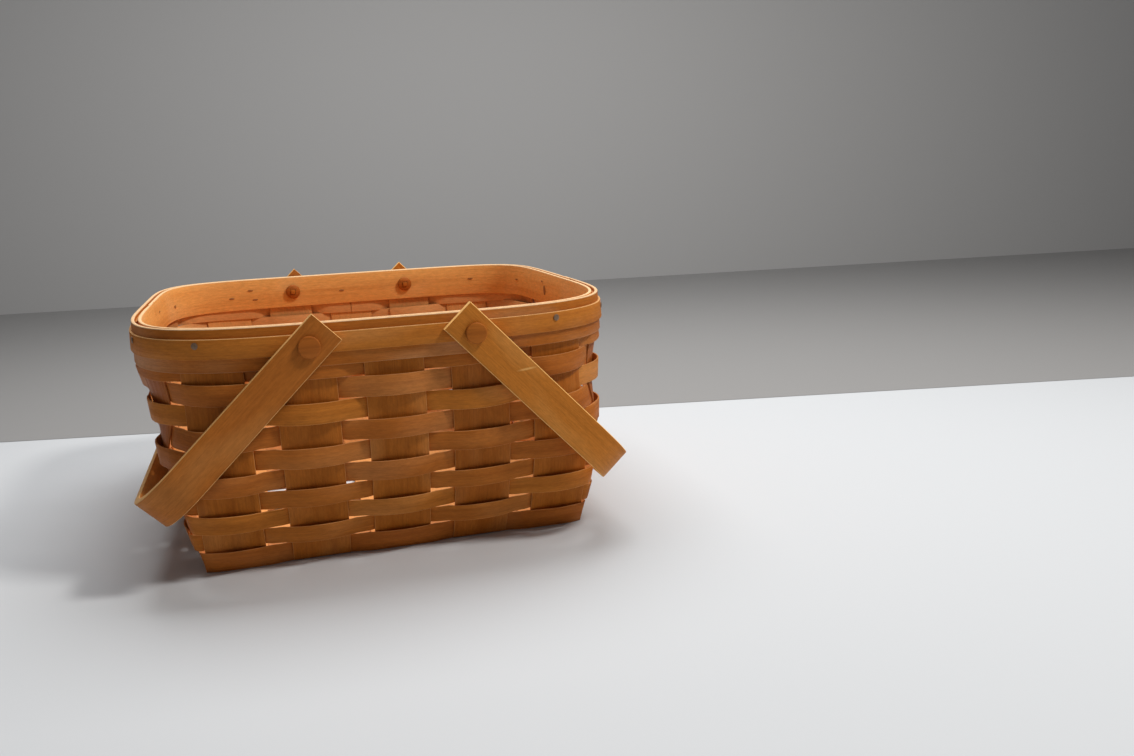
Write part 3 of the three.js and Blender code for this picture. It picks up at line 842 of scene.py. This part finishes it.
def add_weaver(row):
    """One row: a ring that laps inside an upsplint of the back wall, or butts there if it is tucked."""
    is_tucked = row == ROW_COUNT - 1
    start = BACK * PER_WALL + LAP_NUMBERS[row % 2]
    lap_from = start + SPLINT_COUNT
    if is_tucked:
        butt = CLEARANCE / 2 / UPSPLINT_WIDTH
        turns = turns_between(start + ON_MIDDLE + butt, lap_from + ON_MIDDLE - butt)
    else:
        turns = turns_between(start, lap_from + ON_SHARE)

    def inwards(turn):
        if is_tucked:
            return 0.0
        return lap_depth * ease(clamp01((turn - lap_from + ON_SHARE) / ON_SHARE))

    offsets = [weave_offset(row, t, is_tucked) - inwards(t) for t in turns]
    feet = [weave_offset(row, t, True) - inwards(t) for t in turns]
    if row == 0:
        lows = [-foot_at(t) for t in turns]
    elif is_tucked:
        lows = [slit_at(row, t) - reach_at(t) for t in turns]
    else:
        lows = [slit_at(row, t) for t in turns]
    highs = [slit_at(row + 1, t) for t in turns]
    wanders = [wander_at(row, t) for t in turns]
    sways = [sway_at(row, t, offset) for t, offset in zip(turns, offsets)]
    middle = rows_bottom + (row + 0.5) * row_pitch

    def points_at(step, across, depth):
        share = across / (WEAVER_WIDTH / 2)
        trimmed = across - max(share, 0) * highs[step] + max(-share, 0) * lows[step]
        z = middle + trimmed + wanders[step] - sways[step]
        offset = offsets[step]
        if row == 0:
            offset = mix(feet[step], offset, (1 + share) / 2)
        if is_tucked and offset > 0:
            offset += TUCK_FLARE * ease(max(-share, 0)) * offset / weave_edge
        return wall_point(turns[step], z, offset + depth, True)

    name = f"weaver_{row + 1:02d}"
    piece = flat_strip("splint_" + name, len(turns) - 1, WEAVER_WIDTH, WEAVER_THICKNESS, WEAVER_EASE)
    # Inside faces painted paler, as painted light.
    bend_strip(piece, points_at, INSIDE_LIT_PALE)
    finish_piece(piece, weaver_wood, "weaver", "basket", name)


for row in range(ROW_COUNT):
    add_weaver(row)

# Upsplints


def crossing_height(end_number, front_number):
    is_under = (end_number + front_number) % 2 == 0
    return flat_base - crossing_step if is_under else flat_base + crossing_step


def wall_stations(wall, number, base_height):
    """Places of an upsplint from the top of its wall down to the base, as functions of side and depth."""
    turn = wall * PER_WALL + number
    foot = base_height + FOLD_RADIUS
    stations = []

    def upright(z):
        return lambda side, depth: wall_point(turn + ON_MIDDLE + ON_MIDDLE * side, z, depth, True)

    def folded(angle):
        def place(side, depth):
            at = turn + ON_MIDDLE + ON_MIDDLE * side
            inward = FOLD_RADIUS - (FOLD_RADIUS + depth) * math.cos(angle)
            point = wall_point(at, base_height, -inward, False)
            drop = FOLD_RADIUS - (FOLD_RADIUS + depth) * math.sin(angle)
            return Vector((point.x, point.y, base_height + drop))

        return place

    for step in range(WALL_STEPS):
        stations.append(upright(mix(upsplint_top, foot, step / WALL_STEPS)))
    for step in range(FOLD_STEPS + 1):
        stations.append(folded(math.pi / 2 * step / FOLD_STEPS))
    return stations


def add_upsplint(name, first, base, last):
    """An upsplint down one wall, along the base and up the wall across from it."""
    stations = first + base + last[::-1]
    sides = [1] * (len(first) + len(base)) + [-1] * len(last)

    def points_at(step, across, depth):
        return stations[step](sides[step] * across / (UPSPLINT_WIDTH / 2), depth)

    steps = len(stations) - 1
    piece = flat_strip(
        "splint_" + name, steps, UPSPLINT_WIDTH, UPSPLINT_THICKNESS, UPSPLINT_EASE, UPSPLINT_CUTS
    )
    # Inside faces painted paler, as painted light.
    bend_strip(piece, points_at, INSIDE_LIT_PALE)
    finish_piece(piece, upsplint_wood, "upsplint", "basket", name)


def add_front_to_back(number):
    """Where the lowest row passes inside an upsplint, its heel comes down to the floor."""
    heel = flat_base - HEEL_DROP * (number % 2)
    front = wall_stations(FRONT, number, heel)
    back = wall_stations(BACK, PER_WALL - 1 - number, heel)
    middle_x = upsplint_place(FRONT, number, 0)
    heel_y = BASE_DEPTH / 2 - HEEL_RUN

    def lying(y):
        return lambda side, depth: Vector((middle_x + side * UPSPLINT_WIDTH / 2, y, flat_base - depth))

    add_upsplint(f"upsplint_front_back_{number + 1}", front, [lying(-heel_y), lying(heel_y)], back)


def add_end_to_end(number):
    """These pass over and under the first five, with an eased step in each gap."""
    last = PER_WALL - 1
    right = wall_stations(RIGHT, number, crossing_height(number, last))
    left = wall_stations(LEFT, last - number, crossing_height(number, 0))
    middle_y = upsplint_place(RIGHT, number, 0)
    base = []

    def lying(x, z):
        return lambda side, depth: Vector((x, middle_y + side * UPSPLINT_WIDTH / 2, z - depth))

    for front_number in range(last, -1, -1):
        x = upsplint_place(FRONT, front_number, 0)
        z = crossing_height(number, front_number)
        base += [lying(x + UPSPLINT_WIDTH / 2, z), lying(x - UPSPLINT_WIDTH / 2, z)]
        if front_number > 0:
            next_x = upsplint_place(FRONT, front_number - 1, 0) + UPSPLINT_WIDTH / 2
            next_z = crossing_height(number, front_number - 1)
            for step in range(1, CROSS_STEPS):
                share = step / CROSS_STEPS
                at = mix(x - UPSPLINT_WIDTH / 2, next_x, share)
                base.append(lying(at, mix(z, next_z, ease(share))))
    add_upsplint(f"upsplint_end_end_{number + 1}", right, base, left)


for number in range(PER_WALL):
    add_front_to_back(number)
    add_end_to_end(number)

# Bands and trim strip


def add_hoop(name, material, slot, near, far, wall, top, height, tip, eased):
    """A hoop round the rim, closed by a scarf joint in the middle of a wall."""
    start = wall * PER_WALL + math.floor(MIDDLE)
    finish = start + SPLINT_COUNT
    thickness = far - near
    taper = thickness - tip
    overlap = (taper - tip - CLEARANCE) / taper
    turns = turns_between(start, finish + overlap / 2)

    def faces(turn):
        outer = far
        inner = near
        if turn < start + ON_SHARE:
            outer = near + tip + taper * (turn - start) / ON_SHARE
        if turn > finish - ON_SHARE:
            inner = near + (tip + CLEARANCE) * clamp01((turn - finish) / ON_SHARE + 1)
        if turn > finish:
            inner = mix(near + tip + CLEARANCE, far - tip, (turn - finish) / ON_SHARE / overlap)
        return inner, outer

    limits = [faces(t) for t in turns]
    to_middle = math.copysign(1, -near)

    def points_at(step, across, depth):
        inner, outer = limits[step]
        share = depth / thickness + 0.5
        z = top - height / 2 + across
        closing = ease(clamp01((z - rows_top) / (RIM_HEIGHT - rows_top)))
        swell = RIM_SWELL * (share if near < 0 else 1 - share)
        offset = mix(inner, outer, share) + to_middle * closing * (RIM_PINCH + swell)
        return wall_point(turns[step], z, offset, False)

    piece = flat_strip("bent_" + name, len(turns) - 1, height, thickness, eased)
    # Painted shade: the lower edges of the hoops are left darker.
    bend_strip(piece, points_at, shaded_low_pale=SHADED_LOW_EDGE_PALE)
    finish_piece(piece, material, slot, "basket", name)


band = {"top": RIM_HEIGHT, "height": BAND_HEIGHT, "tip": BAND_TIP, "eased": BAND_EASE}
trim = {"top": RIM_HEIGHT - TRIM_DROP, "height": TRIM_HEIGHT, "tip": TRIM_TIP, "eased": TRIM_EASE}
add_hoop("outer_band", band_wood, "band", band_near, band_far, RIGHT, **band)
# The inner band gets the paler stain: painted light of the inside of the rim.
add_hoop("inner_band", inner_band_lit_wood, "band", -band_far, -band_near, LEFT, **band)
add_hoop("trim_strip", trim_wood, "trim", trim_near, trim_far, BACK, **trim)

# Handles


def handle_path():
    """Outer face of a handle that stands up from its pins: points and facings in Y and Z."""
    bend_y = handle_far - HANDLE_BEND
    bend_z = HANDLE_REACH - HANDLE_BEND
    path = []
    for step in range(LEG_STEPS):
        path.append((-handle_far, mix(-HANDLE_TAIL, bend_z, step / LEG_STEPS), -1.0, 0.0))
    for step in range(BEND_STEPS):
        angle = math.pi / 2 * step / BEND_STEPS
        face_y = -math.cos(angle)
        face_z = math.sin(angle)
        path.append((-bend_y + HANDLE_BEND * face_y, bend_z + HANDLE_BEND * face_z, face_y, face_z))
    half = len(path)
    for step in range(GRIP_STEPS + 1):
        path.append((mix(-bend_y, bend_y, step / GRIP_STEPS), HANDLE_REACH, 0.0, 1.0))
    for y, z, face_y, face_z in reversed(path[:half]):
        path.append((-y, z, -face_y, face_z))
    return path


def drill(piece, radius):
    """Pin holes through both legs of a handle that stands up from its pins."""
    deselect()
    bpy.ops.mesh.primitive_cylinder_add(
        vertices=HOLE_SIDES,
        radius=radius * MM,
        depth=3 * handle_far * MM,
        rotation=(math.pi / 2, 0, 0),
    )
    cut_away(piece, bpy.context.object, "pin_holes")


def add_handle(name, x, degrees, material, paler):
    path = handle_path()

    def points_at(step, across, depth):
        y, z, face_y, face_z = path[step]
        inset = depth - HANDLE_THICKNESS / 2
        return Vector((-across, y + face_y * inset, z + face_z * inset))

    piece = flat_strip(
        "bent_" + name,
        len(path) - 1,
        HANDLE_WIDTH,
        HANDLE_THICKNESS,
        HANDLE_EASE,
        HANDLE_CUTS,
        HANDLE_EASE_STEPS,
    )
    bend_strip(piece, points_at, paler=paler)
    drill(piece, hole_radius)
    turn = Matrix.Rotation(math.radians(degrees), 4, "Y")
    place = Matrix.Translation((x * MM, 0, pin_height * MM))
    piece.data.transform(place @ turn)
    smooth(piece, STRIP_SMOOTH)
    finish_piece(piece, material, "handle", name, name)


add_handle("left_handle", -PIN_SPACING / 2, LEFT_HANDLE_TURN, handle_wood, LEFT_HANDLE_TONE)
add_handle("right_handle", PIN_SPACING / 2, RIGHT_HANDLE_TURN, scuffed_wood, RIGHT_HANDLE_TONE)

# Pins and buttons, modelled with their axis along Z and the head or dome upwards


def turned_blank(name, radius, height, sides):
    """A round blank that stands on the bench, ready to be worked by its faces."""
    deselect()
    bpy.ops.mesh.primitive_cylinder_add(
        vertices=sides, radius=radius * MM, depth=height * MM, location=(0, 0, height * MM / 2)
    )
    piece = named(name)
    bpy.ops.object.transform_apply(location=True, rotation=False, scale=False)
    bpy.ops.object.mode_set(mode="EDIT")
    bpy.ops.mesh.select_mode(type="FACE")
    return piece


def end_grain(piece, tone):
    """Grain map of a turned piece, with its rings seen on the ends, and its marks."""
    mesh = piece.data
    across = grain_map(mesh)
    start = chance.uniform(0, GRAIN_SHIFT)
    for loop in mesh.loops:
        co = mesh.vertices[loop.vertex_index].co
        across[loop.index].uv = (
            start + END_GRAIN_PULL * co.x,
            start + co.y + SIDE_GRAIN_PULL * co.z,
        )
    mesh.attributes.new("bare_edge_and_painted_light", "FLOAT", "FACE")
    tones = mesh.attributes.new("tone", "FLOAT", "FACE")
    for face in mesh.polygons:
        tones.data[face.index].value = tone


def button_seat(wall):
    """Distance from the basket's middle to the back of a button, clear of the inner band."""
    _, out, lean = on_wall(wall, pin_height, PIN_SPACING / 2 + BUTTON_DIAMETER / 2)
    return out - band_far / math.cos(lean) - CLEARANCE


def make_pin(name, wall):
    """A pin with a flat eased head, a shank and a square tip."""
    radius = PIN_HEAD_DIAMETER / 2
    head_foot = handle_far + CLEARANCE
    shank = head_foot - button_seat(wall) - CLEARANCE
    piece = turned_blank(name, radius, PIN_HEAD_HEIGHT, PIN_SIDES)
    select_faces(piece.data, faces_up)
    bpy.ops.mesh.bevel(offset=PIN_HEAD_EASE * MM, segments=PIN_EASE_STEPS, affect="EDGES")
    select_faces(piece.data, faces_down)
    bpy.ops.mesh.inset(thickness=(radius - PIN_DIAMETER / 2) * MM)
    draw_out(-shank * MM)
    bpy.ops.object.mode_set(mode="OBJECT")
    tip_length = BUTTON_HEIGHT + PIN_TIP_PROUD + CLEARANCE
    tip_middle = -shank - tip_length / 2 + PIN_TIP_ROOT / 2
    deselect()
    bpy.ops.mesh.primitive_cube_add(size=1, location=(0, 0, tip_middle * MM))
    tip = bpy.context.object
    tip.scale = (PIN_TIP * MM, PIN_TIP * MM, (tip_length + PIN_TIP_ROOT) * MM)
    bpy.ops.object.transform_apply(location=True, rotation=False, scale=True)
    bevel = tip.modifiers.new("worn", "BEVEL")
    bevel.width = PIN_TIP_EASE * MM
    bevel.segments = PIN_TIP_EASE_STEPS
    bpy.ops.object.modifier_apply(modifier=bevel.name)
    piece.select_set(True)
    bpy.context.view_layer.objects.active = piece
    bpy.ops.object.join()
    return piece


def make_button(name):
    """A domed button with a flat back and a square hole."""
    dome = BUTTON_HEIGHT - BUTTON_EDGE
    piece = turned_blank(name, BUTTON_DIAMETER / 2, BUTTON_EDGE, BUTTON_SIDES)
    select_faces(piece.data, faces_up)
    for step in range(1, BUTTON_DOME_STEPS):
        low, high = (math.pi / 2 * k / BUTTON_DOME_STEPS for k in (step - 1, step))
        draw_out(dome * (math.sin(high) - math.sin(low)) * MM)
        narrow_by(math.cos(high) / math.cos(low))
    bpy.ops.object.mode_set(mode="OBJECT")
    deselect()
    bpy.ops.mesh.primitive_cube_add(size=(PIN_TIP + 2 * CLEARANCE) * MM)
    chisel = bpy.context.object
    chisel.scale.z = CHISEL_REACH
    cut_away(piece, chisel, "tip_hole")
    return piece


def set_in_wall(piece, x, wall, distance, up):
    """Stands a turned piece on the front or back wall, its Z towards the outside or the inside."""
    outside = OUT[wall][1]
    axis = Vector((0, outside * up, 0))
    side = Vector((1, 0, 0))
    place = Matrix.Translation((x * MM, outside * distance * MM, pin_height * MM))
    piece.data.transform(place @ turned_to(side, axis.cross(side), axis))


def add_pins():
    for wall, wall_name in ((FRONT, "front"), (BACK, "back")):
        for x, side in ((-PIN_SPACING / 2, "left"), (PIN_SPACING / 2, "right")):
            where = f"{wall_name}_{side}"
            pin = make_pin("turned_pin_" + where, wall)
            button = make_button("turned_button_" + where)
            end_grain(pin, chance.uniform(*PIN_TONES))
            end_grain(button, chance.uniform(*BUTTON_TONES))
            set_in_wall(pin, x, wall, handle_far + CLEARANCE, 1)
            set_in_wall(button, x, wall, button_seat(wall), -1)
            smooth(pin, TURNED_SMOOTH)
            smooth(button, TURNED_SMOOTH)
            finish_piece(pin, pin_wood, "pin", "basket", "handle_pin_" + where)
            finish_piece(button, pin_wood, "pin", "basket", "pin_button_" + where)


add_pins()

# Tacks: heads on the trim strip, and points clenched on the inner band


def make_tack(name, size, height):
    """A low domed head, or a long one for a point that is bent over."""
    piece = turned_blank(name, 1, height * TACK_EDGE, TACK_SIDES)
    select_faces(piece.data, faces_up)
    for narrow, rise in TACK_DOME:
        draw_out(rise * height * MM)
        narrow_by(narrow)
    bpy.ops.object.mode_set(mode="OBJECT")
    piece.data.transform(Matrix.Diagonal((size[0] / 2, size[1] / 2, 1, 1)))
    return piece


def add_tack(name, turn, z, offset, inside, size, height, metal):
    piece = make_tack(name, size, height)
    up = Vector((0, 0, 1))
    middle = wall_point(turn, z, offset, False)
    ahead = wall_point(turn + TURN_STEP, z, offset, False)
    along = (ahead - middle).normalized()
    out = along.cross(up) * (-1 if inside else 1)
    piece.data.transform(Matrix.Translation(middle * MM) @ turned_to(up.cross(out), up, out))
    smooth(piece, TACK_SMOOTH)
    finish_piece(piece, metal, "pin", "basket")


def turn_of(wall, along, z):
    """The turn round the basket at a distance along a wall."""
    first = wall * PER_WALL
    steps = round((PER_WALL - ON_SHARE) / TURN_STEP)

    def miss(step):
        return abs(plan_point(first + step * TURN_STEP, z)[1] - along)

    return first + min(range(steps), key=miss) * TURN_STEP


for wall in range(WALL_COUNT):
    for number, along in enumerate(TACK_PLACES):
        at = turn_of(wall, along, TACK_HEIGHT)
        name = f"tack_{wall}_{number}"
        add_tack(name, at, TACK_HEIGHT, trim_far, False, TACK_SIZE, TACK_RISE, head_metal)

# Wall, distance along it, height and size of each clenched point
CLENCHED = (
    (BACK, 82.7, 142.5, POINT_SIZE),
    (BACK, 98.6, 136.8, POINT_SIZE),
    (BACK, 79.2, 134.6, POINT_SIZE),
    (BACK, 6.7, 137.4, POINT_SIZE),
    (BACK, -106.9, 140.2, POINT_SIZE),
    (RIGHT, 114.0, 139.8, POINT_SIZE),
    (RIGHT, 44.0, 144.2, POINT_SIZE),
    (RIGHT, 37.6, 137.6, SLOT_SIZE),
    (LEFT, -116.0, 137.2, ROUND_POINT_SIZE),
    (LEFT, -46.0, 142.0, POINT_SIZE),
)
for number, (wall, along, z, size) in enumerate(CLENCHED):
    at = turn_of(wall, along, z)
    add_tack(f"tack_point_{number}", at, z, -band_far, True, size, POINT_RISE, point_metal)

# Floor, backdrop, light and camera, in metres
STAGE_REACH = 4.0
STAGE_ROUGHNESS = 0.7
FLOOR_COLOUR = (0.62, 0.65, 0.69)
PAPER_COLOUR = (0.29, 0.29, 0.295)
BACKDROP_COLOUR = (0.47, 0.475, 0.485)
PAPER_LINE = (1.096, -0.632)
PAPER_LIFT = 3e-4
BACKDROP_LINE = (1.9, 0.9)
BACKDROP_FOOT = -0.1
BACKDROP_TOP = 3.0
STUDIO_COLOUR = (0.92, 0.9, 0.88, 1)
STUDIO_STRENGTH = 0.15


def stage_sheet(name, near, far, near_z, far_z, colour):
    """A sheet from a near to a far line, each given by its Y at the left and the right."""
    deselect()
    bpy.ops.mesh.primitive_plane_add(size=1)
    sheet = bpy.context.object
    sheet.name = name
    ends = ((near, near_z), (far, far_z))
    corners = [(x, line[k], z) for line, z in ends for k, x in enumerate((-STAGE_REACH, STAGE_REACH))]
    for vertex, corner in zip(sheet.data.vertices, corners):
        vertex.co = corner
    material, _, shader = new_material(name)
    shader.inputs["Base Color"].default_value = (*colour, 1)
    shader.inputs["Roughness"].default_value = STAGE_ROUGHNESS
    sheet.data.materials.append(material)


stage_sheet("floor", (-STAGE_REACH,) * 2, (STAGE_REACH,) * 2, 0, 0, FLOOR_COLOUR)
stage_sheet("paper", PAPER_LINE, BACKDROP_LINE, PAPER_LIFT, PAPER_LIFT, PAPER_COLOUR)
stage_sheet("backdrop", BACKDROP_LINE, BACKDROP_LINE, BACKDROP_FOOT, BACKDROP_TOP, BACKDROP_COLOUR)


def add_light(name, place, target, size, power, colour):
    lamp = bpy.data.lights.new(name, "AREA")
    lamp.shape = "RECTANGLE"
    lamp.size, lamp.size_y = size
    lamp.energy = power
    lamp.color = colour
    light = bpy.data.objects.new(name, lamp)
    light.location = place
    facing = Vector(target) - Vector(place)
    light.rotation_euler = facing.to_track_quat("-Z", "Y").to_euler()
    bpy.context.scene.collection.objects.link(light)


add_light(
    "overhead",
    place=(0.15, 0.35, 1.15),
    target=(0.1, 0.05, 0),
    size=(1.1, 0.8),
    power=14,
    colour=(1, 0.98, 0.95),
)
add_light(
    "right_key",
    place=(0.9, -0.65, 1.35),
    target=(0.05, 0, 0.1),
    size=(0.25, 0.25),
    power=14.5,
    colour=(1, 0.96, 0.9),
)

world = bpy.data.worlds.new("studio")
world.use_nodes = True
studio = world.node_tree.nodes["Background"].inputs
studio["Color"].default_value = STUDIO_COLOUR
studio["Strength"].default_value = STUDIO_STRENGTH
bpy.context.scene.world = world
bpy.context.scene.view_settings.view_transform = "Standard"

# The camera of the photograph: its focal length in pixels, its place in millimetres and its directions
PHOTO_WIDTH = 1134
FOCAL_PIXELS = 997.03
SENSOR_WIDTH = 36.0
NEAREST = 0.01
CAMERA_PLACE = Vector((-63.88, -735.11, 228.68))
CAMERA_RIGHT = Vector((0.95702584, -0.28708716, -0.04101829))
CAMERA_DOWN = Vector((-0.09620263, -0.18085079, -0.97879418))
CAMERA_AHEAD = Vector((0.27358105, 0.94067739, -0.20069742))

lens = bpy.data.cameras.new("camera")
lens.sensor_fit = "HORIZONTAL"
lens.sensor_width = SENSOR_WIDTH
lens.lens = FOCAL_PIXELS / PHOTO_WIDTH * SENSOR_WIDTH
lens.clip_start = NEAREST
camera = bpy.data.objects.new("camera", lens)
facing = turned_to(CAMERA_RIGHT, -CAMERA_DOWN, -CAMERA_AHEAD)
camera.matrix_world = Matrix.Translation(CAMERA_PLACE * MM) @ facing
bpy.context.scene.collection.objects.link(camera)
bpy.context.scene.camera = camera
